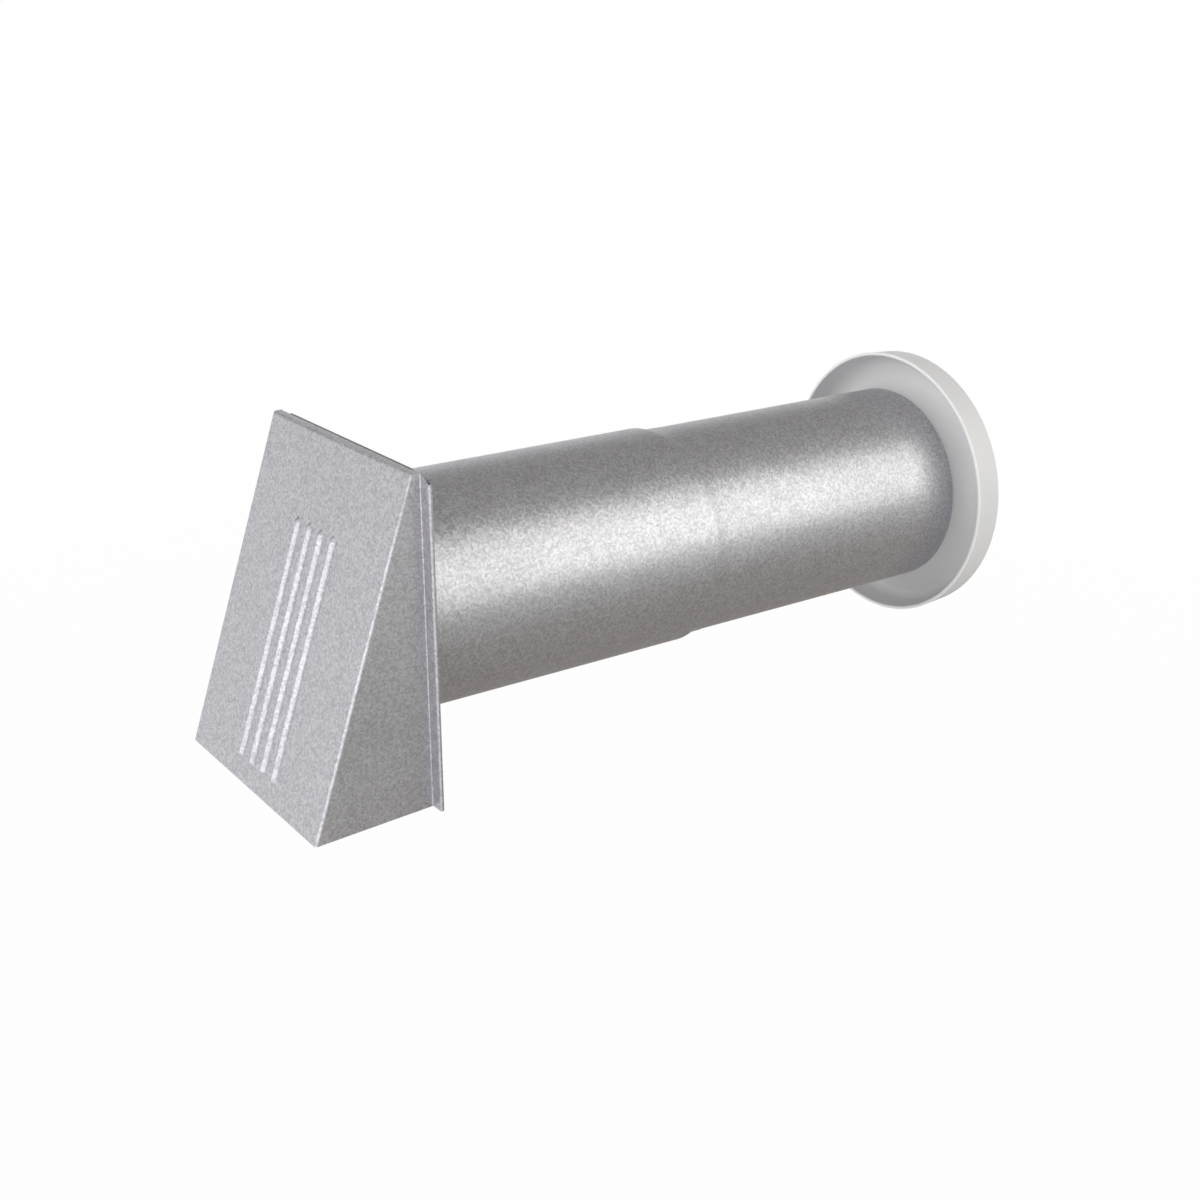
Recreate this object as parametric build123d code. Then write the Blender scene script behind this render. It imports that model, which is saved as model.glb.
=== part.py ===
from build123d import *
from math import atan2, cos, degrees, hypot, pi, sin, sqrt, tan
import os

# Fresh air valve for a wall duct. Millimetres, +Z up.
# The duct axis is Y: y = 0 is the outer face of the wall and +Y runs into the room.
# Profiles of turned pieces are drawn as (radius, y) and revolved about Y.

# Sheet hood
sheet = 0.6
bend_radius = 1.5
flange_bend_radius = 0.5
hood_width = 126.4
hood_top_z = 73.7
hood_top_depth = 6.1
hood_front_bottom_z = -75.6
hood_bottom_depth = 57.2
cheek_bottom_z = -73.1
flange_width = 6.7
flange_top_z = 69.7
hem_return = 5.5
hem_gap = 0.05

# Pressed beads on the hood's front
bead_count = 4
bead_pitch = 11.0
bead_width = 4.6
bead_height = 1.2
bead_start = 38.0
bead_end = 149.0

# Back plate
plate_sheet = 0.6
plate_top_gap = 0.3
plate_corner_x = 13.7
plate_corner_z = 5.5
plate_hole_gap = 0.3
screw_spacing_x = 104.0
screw_spacing_z = 120.0
screw_hole_radius = 2.4

# Outer tube
tube_sheet = 0.6
tube_step = 1.9
outer_tube_straight = 159.5
swage_length = 12.5
rim_width = 4.6
tube_gap = 0.3

# Insect mesh and its hoop
mesh_pitch = 7.0
mesh_bar = 1.0
mesh_thickness = 1.0
mesh_y = 3.0
hoop_wall = 1.0
hoop_depth = 2.4
hoop_split = 6.0
hoop_gap = 0.3

# Inner tube
inner_tube_radius = 51.1
inner_tube_start = 130.0
inner_tube_end = 318.5

# Valve ring
lip_y = 317.4
ring_depth = 15.1
rim_taper = 1.4
face_land = 4.1
lip_wall = 2.4
rim_draft = 1.5
ring_edge_radius = 2.3
web_corner_radius = 1.5
corner_share = 0.95
bell_reach = 16.8
bell_depth = 16.5
ring_wall = 2.0
spigot_gap = 0.3
spigot_end_y = 292.0

# Seal in the spigot's groove
seal_width = 2.8
seal_groove_depth = 0.8
seal_inset = 14.0
seal_gap = 0.05

# Bridge in the spigot
bridge_gap = 0.3
hoop_width = 4.9
hoop_length = 8.0
ledge_length = 4.0
arm_count = 3
arm_width = 4.0
arm_hub_length = 16.0
guide_wall = 2.9
guide_length = 28.0
guide_floor = 7.0
bridge_screw_radius = 1.3
bridge_screw_head = 2.3
bridge_screw_head_height = 1.4
bridge_screw_length = 10.5
bridge_screw_gap = 0.1

# Spindle and what it carries
spindle_radius = 3.9
running_gap = 0.1
bush_wall = 2.0
bush_flange = 2.0
bush_flange_height = 1.0
fit_gap = 0.05
collar_radius = 7.0
collar_height = 1.5
washer_radius = 7.0
washer_height = 1.0
circlip_radius = 6.2
circlip_height = 0.9
circlip_groove_depth = 0.8
circlip_opening = 5.0
spindle_tail = 1.2
flat_depth = 0.7

# Disc, its boss and nut
travel = 14.0
disc_overlap = 8.8
disc_wall = 2.0
disc_crown = 4.5
disc_bulge = 0.9
seat_gap = 0.3
disc_seal_inset = 1.0
disc_seal_width = 3.4
disc_seal_height = 1.2
boss_wall = 2.8
boss_gap = 0.3
well_gap = 1.3
boss_start_gap = 0.6
key_width = 3.0
key_height = 1.6
key_stop = 3.0
key_gap = 0.3
nut_wall = 2.0
nut_flange = 1.8
nut_flange_height = 1.0

# Knob
knob_radius = 11.5
knob_front_radius = 10.6
knob_length = 16.0
knob_edge_radius = 1.5
knob_gap = 1.0
knob_well_gap = 1.5
flute_count = 12
flute_radius = 1.7
knob_web = 1.6
cap_radius = 4.9
cap_height = 1.8
cap_gap = 0.6
knob_screw_radius = 1.5
knob_screw_head = 2.9
knob_screw_head_height = 2.0
knob_screw_length = 9.0

# Filter behind the spigot
filter_wall = 1.7
filter_thickness = 12.0
filter_seat_gap = 0.3
filter_grid_bar = 2.0
filter_grid_height = 2.0
filter_grid_pitch = 16.0
filter_clip_wire = 1.5
filter_space = 8.0
filter_rim = 2.5

# Worked-out places shared between the pieces
half_width = hood_width / 2
hem_thickness = 2 * sheet + plate_sheet + 2 * hem_gap
flange_edge_x = half_width + flange_width
hem_centre_x = flange_edge_x - hem_thickness / 2
slope = atan2(hood_bottom_depth - hood_top_depth, hood_top_z - hood_front_bottom_z)
plate_front_y = -(sheet + hem_gap + plate_sheet)
plate_back_y = -(sheet + hem_gap)
plate_top_z = hood_top_z - plate_top_gap
outer_tube_radius = inner_tube_radius + tube_step
outer_bore = outer_tube_radius - tube_sheet
swage_bore = inner_tube_radius + tube_gap
swage_end_y = outer_tube_straight + swage_length
inner_bore = inner_tube_radius - tube_sheet
room_y = lip_y + ring_depth
spigot_radius = inner_bore - spigot_gap
spigot_bore = spigot_radius - ring_wall
bell_centre_y = room_y - bell_depth
bell_outer_radius = spigot_bore + bell_reach
ring_face_radius = bell_outer_radius + face_land
lip_radius = ring_face_radius + rim_taper
bridge_front_y = spigot_end_y + hoop_length
bridge_radius = spigot_bore - bridge_gap
hoop_bore = bridge_radius - hoop_width
ledge_bore = hoop_bore + bridge_gap
screw_turn = 180 / arm_count
screw_circle = (bridge_radius + hoop_bore) / 2
cavity_y = spigot_end_y + guide_floor
bush_radius = spindle_radius + running_gap + bush_wall
bush_bore = spindle_radius + running_gap
collar_y = cavity_y + bush_flange_height + running_gap
boss_start_y = collar_y + collar_height + boss_start_gap
nut_radius = bush_bore + nut_wall
boss_radius = nut_radius + boss_wall
guide_bore = boss_radius + boss_gap
guide_radius = guide_bore + guide_wall
guide_end_y = spigot_end_y + guide_length
disc_radius = spigot_bore + disc_overlap
seal_outer_radius = disc_radius - disc_seal_inset
seal_inner_radius = seal_outer_radius - disc_seal_width
well_back_y = guide_end_y + well_gap
well_floor_y = well_back_y + disc_wall
knob_back_y = well_floor_y + nut_flange_height + travel + knob_gap
knob_front_y = knob_back_y + knob_length
web_front_y = knob_front_y - cap_height - knob_screw_head_height - cap_gap
spindle_end_y = web_front_y - knob_web - fit_gap
washer_y = spigot_end_y - running_gap - washer_height
circlip_y = washer_y - circlip_height - fit_gap
spindle_start_y = circlip_y - spindle_tail
well_bore = knob_radius + knob_well_gap
filter_front_y = spigot_end_y - filter_space
filter_back_y = filter_front_y - filter_thickness - filter_seat_gap
filter_start_y = filter_back_y - filter_grid_height
filter_bore = spigot_radius - filter_wall


def turned(*edges):
    """Solid of revolution about Y from the edges of a closed (radius, y) outline."""
    return revolve(make_face(edges), Axis.Y, 360)


def turned_polygon(*points):
    return turned(*Polyline(*points, close=True).edges())


def ring(inner_radius, outer_radius, start_y, end_y):
    """Plain hollow cylinder about Y."""
    return turned_polygon(
        (inner_radius, start_y), (outer_radius, start_y),
        (outer_radius, end_y), (inner_radius, end_y))


def rod(radius, start_y, end_y, x=0.0, z=0.0):
    """Plain round bar along Y."""
    bar = Cylinder(radius, end_y - start_y, rotation=(90, 0, 0))
    return Pos(x, (start_y + end_y) / 2, z) * bar


def block(x_size, z_size, start_y, end_y, x=0.0, z=0.0):
    """Box along Y, centred on (x, z)."""
    return Pos(x, (start_y + end_y) / 2, z) * Box(x_size, end_y - start_y, z_size)


def around(shape, count, start=0.0):
    """Copies of a shape, evenly spaced about the duct axis."""
    step = 360 / count
    return [Rot(0, start + step * i, 0) * shape for i in range(count)]


def bell_y(radius, gap=0.0):
    """Height of the bell-mouth's air side at a radius, with a gap measured off it."""
    reach = bell_outer_radius - spigot_bore + gap
    share = (bell_outer_radius - radius) / reach
    return bell_centre_y + (bell_depth + gap) * sqrt(1 - share ** 2)


def bent_wedge(outline, width, radius):
    """Prism along X from a (y, z) outline, with its front and top bends rounded."""
    prism = extrude(make_face(Plane.YZ * Polyline(*outline, close=True)), width / 2, both=True)
    front = prism.faces().filter_by(lambda face: face.normal_at().Y < -0.5)[0]
    return fillet(front.edges().sort_by(Axis.Z)[1:], radius)


def hood_body():
    """Front, cheeks and top tab of the folded sheet."""
    back_y = plate_front_y - hem_gap
    outside = bent_wedge(
        [(back_y, hood_top_z), (-hood_top_depth, hood_top_z),
         (-hood_bottom_depth, hood_front_bottom_z), (back_y, cheek_bottom_z)],
        hood_width, bend_radius)
    inset = sheet / cos(slope)
    below_z = hood_front_bottom_z - sheet
    inside_top_z = hood_top_z - sheet
    top_y = -hood_top_depth - sheet * tan(slope) + inset
    below_y = -hood_bottom_depth - sheet * tan(slope) + inset
    inside = bent_wedge(
        [(sheet, inside_top_z), (top_y, inside_top_z), (below_y, below_z), (sheet, below_z)],
        hood_width - 2 * sheet, bend_radius - sheet)
    return outside, inside


def bead(radius, sunk_depth, x):
    """Round-ended bar along the hood's front, its axis a little under the surface."""
    front = Plane(origin=(0, -hood_top_depth, hood_top_z), x_dir=(1, 0, 0),
                  z_dir=(0, -cos(slope), sin(slope)))
    end_inset = bead_width / 2
    top = -(bead_start + end_inset)
    bottom = -(bead_end - end_inset)
    bar = Pos(x, (top + bottom) / 2, -sunk_depth) * Cylinder(radius, top - bottom, rotation=(90, 0, 0))
    ends = [Pos(x, y, -sunk_depth) * Sphere(radius) for y in (top, bottom)]
    return [front.location * shape for shape in [bar] + ends]


def hem():
    """Right side flange: front layer, round fold and rear layer around the plate's edge."""
    outer_r = hem_thickness / 2
    inner_r = outer_r - sheet
    front_y = -hem_thickness
    inner_x = half_width - sheet
    return_x = hem_centre_x - hem_return
    outline = [
        Line((inner_x, front_y), (hem_centre_x, front_y)),
        ThreePointArc((hem_centre_x, front_y), (flange_edge_x, -outer_r), (hem_centre_x, 0)),
        Line((hem_centre_x, 0), (return_x, 0)),
        Line((return_x, 0), (return_x, -sheet)),
        Line((return_x, -sheet), (hem_centre_x, -sheet)),
        ThreePointArc((hem_centre_x, -sheet), (hem_centre_x + inner_r, -outer_r),
                      (hem_centre_x, front_y + sheet)),
        Line((hem_centre_x, front_y + sheet), (inner_x, front_y + sheet)),
        Line((inner_x, front_y + sheet), (inner_x, front_y)),
    ]
    length = hood_top_z - sheet - cheek_bottom_z
    strip = Pos(0, 0, cheek_bottom_z) * extrude(make_face(outline), length)
    corner = extrude(
        make_face(Plane.XZ * Polyline(
            (half_width, hood_top_z - sheet), (flange_edge_x, flange_top_z),
            (flange_edge_x, hood_top_z), (half_width, hood_top_z), close=True)),
        2 * hem_thickness, both=True)
    return strip - corner


def hood():
    outside, inside = hood_body()
    ball = (bead_width ** 2 / 4 + bead_height ** 2) / (2 * bead_height)
    sunk_depth = ball - bead_height
    places = [bead_pitch * (i - (bead_count - 1) / 2) for i in range(bead_count)]
    for x in places:
        outside += bead(ball, sunk_depth, x)
        inside += bead(ball - sheet, sunk_depth, x)
    folded = outside - inside
    flange = hem()
    folded += [flange, mirror(flange, Plane.YZ)]
    bend = folded.edges().filter_by(Axis.Z).filter_by(
        lambda edge: abs(abs(edge.center().X) - half_width) < fit_gap
        and abs(edge.center().Y + hem_thickness) < fit_gap)
    return fillet(bend, flange_bend_radius)


def back_plate():
    outline = [
        (-hem_centre_x, cheek_bottom_z), (hem_centre_x, cheek_bottom_z),
        (hem_centre_x, plate_top_z - plate_corner_z),
        (hem_centre_x - plate_corner_x, plate_top_z),
        (plate_corner_x - hem_centre_x, plate_top_z),
        (-hem_centre_x, plate_top_z - plate_corner_z)]
    face = make_face(Plane.XZ * Polyline(*outline, close=True))
    plate = Pos(0, plate_back_y, 0) * extrude(face, plate_sheet)
    plate -= rod(outer_tube_radius + tube_sheet + plate_hole_gap, plate_front_y, plate_back_y)
    for x in (-screw_spacing_x / 2, screw_spacing_x / 2):
        for z in (-screw_spacing_z / 2, screw_spacing_z / 2):
            plate -= rod(screw_hole_radius, plate_front_y, plate_back_y, x, z)
    return plate


def outer_tube():
    """Sleeve with a rim turned over the plate and an indoor end swaged down to the inner tube."""
    rim_y = plate_front_y - tube_sheet
    rim_radius = outer_tube_radius + rim_width
    turn = tube_sheet
    drop = outer_bore - swage_bore
    swage_radius = (swage_length ** 2 + drop ** 2) / (2 * drop)
    arc_centre = outer_bore - swage_radius
    half_angle = atan2(swage_length, swage_radius - drop) / 2
    middle_y = outer_tube_straight + swage_radius * sin(half_angle)

    def swage(radius):
        shift = radius - outer_bore
        middle = arc_centre + swage_radius * cos(half_angle) + shift
        return ThreePointArc((radius, outer_tube_straight), (middle, middle_y),
                             (swage_bore + shift, swage_end_y))

    return turned(
        Line((outer_bore, rim_y), (rim_radius, rim_y)),
        Line((rim_radius, rim_y), (rim_radius, plate_front_y)),
        Line((rim_radius, plate_front_y), (outer_tube_radius + turn, plate_front_y)),
        RadiusArc((outer_tube_radius + turn, plate_front_y),
                  (outer_tube_radius, plate_front_y + turn), turn),
        Line((outer_tube_radius, plate_front_y + turn), (outer_tube_radius, outer_tube_straight)),
        swage(outer_tube_radius),
        Line((swage_bore + tube_sheet, swage_end_y), (swage_bore, swage_end_y)),
        swage(outer_bore),
        Line((outer_bore, outer_tube_straight), (outer_bore, rim_y)))


def mesh_radius():
    return outer_bore - hoop_gap - hoop_wall - fit_gap


def insect_mesh():
    """Disc of crossing bars: square gaps in one thin wall, kept whole inside the rim."""
    radius = mesh_radius()
    disc = rod(radius, mesh_y, mesh_y + mesh_thickness)
    clear_radius = radius - hoop_depth
    gap = mesh_pitch - mesh_bar
    reach = int(radius // mesh_pitch) + 1
    steps = [mesh_pitch * (i + 0.5) for i in range(-reach, reach)]
    holes = [
        block(gap, gap, mesh_y, mesh_y + mesh_thickness, x, z)
        for x in steps for z in steps
        if hypot(abs(x) + gap / 2, abs(z) + gap / 2) < clear_radius]
    return disc - holes


def mesh_frame():
    """Split hoop with a groove for the mesh's edge."""
    radius = mesh_radius()
    outside = outer_bore - hoop_gap
    low_y = mesh_y - hoop_wall
    high_y = mesh_y + mesh_thickness + hoop_wall
    hoop = ring(radius - hoop_depth, outside, low_y, high_y)
    hoop -= ring(radius - hoop_depth, radius + fit_gap, mesh_y - fit_gap,
                 mesh_y + mesh_thickness + fit_gap)
    return hoop - block(hoop_split, 2 * hoop_depth + 2 * hoop_wall, low_y, high_y, 0, -outside)


def inner_tube():
    """Sleeve with a small flared lip at its hidden end, which guides it in the outer tube."""
    lip = outer_bore - tube_gap
    return turned_polygon(
        (inner_bore, inner_tube_start), (lip, inner_tube_start),
        (lip, inner_tube_start + tube_sheet), (inner_tube_radius, inner_tube_start + tube_sheet),
        (inner_tube_radius, inner_tube_end), (inner_bore, inner_tube_end))


def bell_curve(inset, depth):
    """Quarter ellipse from the spigot's wall out to the ring's face."""
    return EllipticalCenterArc((bell_outer_radius, bell_centre_y),
                               bell_outer_radius - spigot_bore - inset, depth, 90, arc_size=90)


def valve_ring():
    """Moulded ring: wall lip, rounded rim, bell-mouth, spigot and the bridge's ledge."""
    web_y = room_y - ring_wall
    ledge_end_y = bridge_front_y + ledge_length
    web_radius = lip_radius - lip_wall - rim_draft
    web_corner = min(web_corner_radius, corner_share * (web_radius - bell_outer_radius))
    rim = FilletPolyline((lip_radius, lip_y), (ring_face_radius, room_y),
                         (bell_outer_radius, room_y), radius=ring_edge_radius)
    web = FilletPolyline((bell_outer_radius, web_y), (web_radius, web_y),
                         (lip_radius - lip_wall, lip_y), radius=web_corner)
    moulding = turned(
        *rim.edges(),
        bell_curve(0, bell_depth),
        Line((spigot_bore, bell_centre_y), (spigot_bore, ledge_end_y)),
        Line((spigot_bore, ledge_end_y), (ledge_bore, ledge_end_y)),
        Line((ledge_bore, ledge_end_y), (ledge_bore, bridge_front_y)),
        Line((ledge_bore, bridge_front_y), (spigot_bore, bridge_front_y)),
        Line((spigot_bore, bridge_front_y), (spigot_bore, spigot_end_y)),
        Line((spigot_bore, spigot_end_y), (spigot_radius, spigot_end_y)),
        Line((spigot_radius, spigot_end_y), (spigot_radius, bell_centre_y)),
        bell_curve(ring_wall, bell_depth - ring_wall),
        *web.edges(),
        Line((lip_radius - lip_wall, lip_y), (lip_radius, lip_y)))
    groove_y = spigot_end_y + seal_inset
    moulding -= ring(spigot_radius - seal_groove_depth, spigot_radius + fit_gap,
                     groove_y, groove_y + seal_width)
    screw_end_y = spigot_end_y + bridge_screw_length
    pilot = rod(bridge_screw_radius + fit_gap, bridge_front_y, screw_end_y, screw_circle)
    return moulding - around(pilot, arm_count, screw_turn)


def tube_seal():
    groove_y = spigot_end_y + seal_inset
    return ring(spigot_radius - seal_groove_depth + seal_gap, inner_bore - seal_gap,
                groove_y + seal_gap, groove_y + seal_width - seal_gap)


def bridge():
    """Spider: hoop on the ring's ledge, gusseted arms and a guide sleeve with two keyways."""
    hoop = ring(hoop_bore, bridge_radius, spigot_end_y, bridge_front_y)
    hub = rod(guide_radius, spigot_end_y, guide_end_y)
    arm_profile = Plane.XY * Polyline(
        (guide_bore, spigot_end_y), (screw_circle, spigot_end_y), (screw_circle, bridge_front_y),
        (hoop_bore, bridge_front_y), (guide_bore, spigot_end_y + arm_hub_length), close=True)
    arm = extrude(make_face(arm_profile), arm_width / 2, both=True)
    spider = hoop + hub + around(arm, arm_count)
    spider -= rod(guide_bore, cavity_y, guide_end_y)
    keyway = block(2 * (boss_radius + key_height + key_gap), key_width + 2 * key_gap,
                   cavity_y, guide_end_y)
    spider -= keyway
    spider -= rod(bush_radius + fit_gap, spigot_end_y, cavity_y)
    hole = rod(bridge_screw_radius + bridge_screw_gap, spigot_end_y, bridge_front_y, screw_circle)
    return spider - around(hole, arm_count, screw_turn)


def bridge_screws():
    head = rod(bridge_screw_head, spigot_end_y - bridge_screw_head_height, spigot_end_y,
               screw_circle)
    slot = block(2 * bridge_screw_head, bridge_screw_radius / 2,
                 spigot_end_y - bridge_screw_head_height,
                 spigot_end_y - bridge_screw_head_height / 2, screw_circle)
    shank = rod(bridge_screw_radius, spigot_end_y, spigot_end_y + bridge_screw_length - fit_gap,
                screw_circle)
    return Compound(children=around(head - slot + shank, arm_count, screw_turn))


def spindle_bush():
    bush = ring(bush_bore, bush_radius, spigot_end_y, cavity_y)
    return bush + ring(bush_bore, bush_radius + bush_flange, cavity_y,
                       cavity_y + bush_flange_height)


def flat_cut(radius, start_y, end_y, clearance=0.0):
    """What a flat ground on a bar takes off it."""
    depth = flat_depth - clearance
    return block(2 * radius + 1, depth, start_y, end_y, 0, radius - depth / 2)


def spindle():
    """Bar with a thrust collar, a circlip groove, a flat for the knob and a tapped end."""
    bar = rod(spindle_radius, spindle_start_y, spindle_end_y)
    bar += rod(collar_radius, collar_y, collar_y + collar_height)
    bar -= ring(spindle_radius - circlip_groove_depth, spindle_radius + fit_gap,
                circlip_y, circlip_y + circlip_height)
    bar -= flat_cut(spindle_radius, knob_back_y, spindle_end_y)
    return bar - rod(knob_screw_radius + fit_gap, web_front_y - knob_screw_length, spindle_end_y)


def thrust_washer():
    return ring(spindle_radius + fit_gap, washer_radius, washer_y, washer_y + washer_height)


def circlip():
    clip = ring(spindle_radius - circlip_groove_depth + fit_gap, circlip_radius,
                circlip_y + fit_gap / 2, circlip_y + circlip_height - fit_gap / 2)
    return clip - block(circlip_opening, circlip_radius, circlip_y, circlip_y + circlip_height,
                        0, -circlip_radius / 2 - spindle_radius / 4)


def knob():
    """Fluted knob with a D-shaped bore and a screw recess under its cap."""
    side = FilletPolyline((knob_radius, knob_back_y), (knob_front_radius, knob_front_y),
                          (0, knob_front_y), radius=knob_edge_radius)
    grip = turned(Line((0, knob_back_y), (knob_radius, knob_back_y)), *side.edges(),
                  Line((0, knob_front_y), (0, knob_back_y)))
    flute = rod(flute_radius, knob_back_y, knob_front_y, knob_radius + flute_radius / 2)
    grip -= around(flute, flute_count)
    bore_radius = spindle_radius + fit_gap
    bore = rod(bore_radius, knob_back_y, web_front_y - knob_web)
    bore -= flat_cut(bore_radius, knob_back_y, web_front_y - knob_web)
    grip -= bore
    grip -= rod(knob_screw_radius + fit_gap, knob_back_y, web_front_y)
    return grip - rod(cap_radius + fit_gap, web_front_y, knob_front_y)


def knob_screw():
    screw = rod(knob_screw_radius, web_front_y - knob_screw_length + fit_gap, web_front_y)
    screw += rod(knob_screw_head, web_front_y, web_front_y + knob_screw_head_height)
    slot_y = web_front_y + knob_screw_head_height / 2
    return screw - block(2 * knob_screw_head, knob_screw_radius / 2, slot_y,
                         web_front_y + knob_screw_head_height)


def knob_cap():
    back_y = knob_front_y - cap_height
    side = FilletPolyline((cap_radius, back_y), (cap_radius, knob_front_y), (0, knob_front_y),
                          radius=cap_height / 3)
    return turned(Line((0, back_y), (cap_radius, back_y)), *side.edges(),
                  Line((0, knob_front_y), (0, back_y)))


def seat_y():
    return bell_y(seal_outer_radius, seat_gap) + disc_seal_height


def valve_disc():
    """Dished disc with a well for the knob and a boss whose two keys run in the guide."""
    edge_y = seat_y()
    well_radius = well_bore + disc_wall
    crown_y = edge_y + disc_wall + disc_crown
    back_crown_y = crown_y - disc_wall
    middle_r = (seal_inner_radius + well_radius) / 2
    outline = [
        Line((nut_radius + fit_gap, boss_start_y), (boss_radius, boss_start_y)),
        Line((boss_radius, boss_start_y), (boss_radius, well_back_y)),
        Line((boss_radius, well_back_y), (well_radius, well_back_y)),
        Line((well_radius, well_back_y), (well_radius, back_crown_y)),
        ThreePointArc((well_radius, back_crown_y),
                      (middle_r, (back_crown_y + edge_y) / 2 + disc_bulge),
                      (seal_inner_radius, edge_y)),
        Line((seal_inner_radius, edge_y), (disc_radius, edge_y)),
        Line((disc_radius, edge_y), (disc_radius, edge_y + disc_wall / 2)),
        RadiusArc((disc_radius, edge_y + disc_wall / 2),
                  (disc_radius - disc_wall / 2, edge_y + disc_wall), -disc_wall / 2),
        ThreePointArc((disc_radius - disc_wall / 2, edge_y + disc_wall),
                      (middle_r + disc_wall, (crown_y + edge_y + disc_wall) / 2 + disc_bulge),
                      (well_bore + disc_wall / 2, crown_y)),
        RadiusArc((well_bore + disc_wall / 2, crown_y), (well_bore, crown_y - disc_wall / 2),
                  -disc_wall / 2),
        Line((well_bore, crown_y - disc_wall / 2), (well_bore, well_floor_y)),
        Line((well_bore, well_floor_y), (nut_radius + fit_gap, well_floor_y)),
        Line((nut_radius + fit_gap, well_floor_y), (nut_radius + fit_gap, boss_start_y)),
    ]
    disc = turned(*outline)
    key_end_y = well_back_y - key_stop
    keys = block(2 * (boss_radius + key_height), key_width, boss_start_y, key_end_y)
    keys -= rod(boss_radius - fit_gap, boss_start_y, key_end_y)
    return disc + keys


def disc_nut():
    nut = ring(bush_bore, nut_radius, boss_start_y, well_floor_y)
    return nut + ring(bush_bore, nut_radius + nut_flange, well_floor_y,
                      well_floor_y + nut_flange_height)


def disc_seal():
    """Ring whose slanted back follows the bell-mouth at the seat gap."""
    top_y = seat_y()
    middle = (seal_inner_radius + seal_outer_radius) / 2
    radii = (seal_inner_radius, middle, seal_outer_radius)
    back = [(r, bell_y(r, seat_gap)) for r in radii]
    return turned_polygon(*back, (seal_outer_radius, top_y), (seal_inner_radius, top_y))


def filter_frame():
    """Hoop against the spigot's end, with a seat and a cross grid outdoors of the mat."""
    hoop = ring(filter_bore, spigot_radius, filter_start_y, spigot_end_y)
    rim = ring(filter_bore - filter_rim, filter_bore + filter_wall / 2, filter_start_y,
               filter_back_y)
    limit = rod(filter_bore + filter_wall / 2, filter_start_y, filter_back_y)
    steps = [filter_grid_pitch * i for i in range(-2, 3)]
    length = 2 * filter_bore
    bars = [block(filter_grid_bar, length, filter_start_y, filter_back_y, x) for x in steps]
    bars += [block(length, filter_grid_bar, filter_start_y, filter_back_y, 0, z) for z in steps]
    grid = Part() + bars
    return hoop + rim + (grid & limit)


def filter_pad():
    return rod(filter_bore - filter_seat_gap, filter_back_y + filter_seat_gap / 2,
               filter_front_y - filter_seat_gap / 2)


def filter_clip():
    """Sprung wire ring, open at the bottom, that holds the mat in its frame."""
    wire = filter_clip_wire / 2
    middle = filter_bore - wire - fit_gap
    section = Pos(middle, filter_front_y + wire) * Circle(wire)
    clip = revolve(section, Axis.Y, 360)
    return clip - block(hoop_split, 4 * filter_clip_wire, filter_front_y,
                        filter_front_y + filter_clip_wire, 0, -middle)


pieces = {
    "hood": hood,
    "back_plate": back_plate,
    "outer_tube": outer_tube,
    "insect_mesh": insect_mesh,
    "mesh_frame": mesh_frame,
    "inner_tube": inner_tube,
    "valve_ring": valve_ring,
    "tube_seal": tube_seal,
    "bridge": bridge,
    "bridge_screws": bridge_screws,
    "spindle_bush": spindle_bush,
    "filter_frame": filter_frame,
    "filter_pad": filter_pad,
    "filter_clip": filter_clip,
    "spindle": spindle,
    "thrust_washer": thrust_washer,
    "circlip": circlip,
    "knob": knob,
    "knob_screw": knob_screw,
    "knob_cap": knob_cap,
    "valve_disc": valve_disc,
    "disc_nut": disc_nut,
    "disc_seal": disc_seal,
}

os.makedirs("parts", exist_ok=True)
for name, make in pieces.items():
    export_step(make(), f"parts/{name}.step")
    print(name)
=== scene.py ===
# %% [markdown]
# # Fresh air valve
# A rain hood folded from coated steel sheet, two duct sleeves that slide one in the other,
# and a moulded ring that closes the hole on the room side. This first cell loads the packed
# model as a fixed frame. Every piece below is placed by that frame, and the frame never moves.

import math

import bmesh
import bpy
from mathutils import Matrix, Vector, noise


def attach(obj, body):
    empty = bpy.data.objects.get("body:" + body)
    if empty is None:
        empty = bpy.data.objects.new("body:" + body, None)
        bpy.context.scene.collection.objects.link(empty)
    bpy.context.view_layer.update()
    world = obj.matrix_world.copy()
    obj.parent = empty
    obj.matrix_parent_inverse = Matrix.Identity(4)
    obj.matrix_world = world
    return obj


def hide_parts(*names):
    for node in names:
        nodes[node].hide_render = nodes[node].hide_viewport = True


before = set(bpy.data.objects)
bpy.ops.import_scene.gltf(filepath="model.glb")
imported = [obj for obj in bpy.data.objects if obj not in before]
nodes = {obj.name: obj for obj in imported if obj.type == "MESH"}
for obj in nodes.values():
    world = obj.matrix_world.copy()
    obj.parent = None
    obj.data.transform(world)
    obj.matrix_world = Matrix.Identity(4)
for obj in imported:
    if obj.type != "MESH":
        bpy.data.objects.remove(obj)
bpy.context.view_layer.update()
MM = 0.001

# %% [markdown]
# ## Camera
# The valve is seen from the upper right of its hood, looking down by about 21 degrees,
# from almost three quarters of a metre. A lens of 49 mm gives the same perspective: the hood's
# upright edges run together slightly and the sleeves grow narrower towards the ring.

# %% Camera
camera_place = Vector((0.6121, -0.3043, 0.2539))
camera_azimuth = math.radians(54.66)
camera_elevation = math.radians(20.565)
camera_data = bpy.data.cameras.new("camera")
camera_data.lens = 49.27
camera_data.sensor_width = 36
camera_data.clip_start = 0.05
camera_data.clip_end = 30
camera = bpy.data.objects.new("camera", camera_data)
camera.location = camera_place
camera.rotation_euler = (math.pi / 2 - camera_elevation, 0, camera_azimuth)
bpy.context.scene.collection.objects.link(camera)
bpy.context.scene.camera = camera
bpy.context.scene.view_settings.view_transform = "Standard"
print("camera", round(camera_place.length, 3), "m from the duct's outer end")

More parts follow.
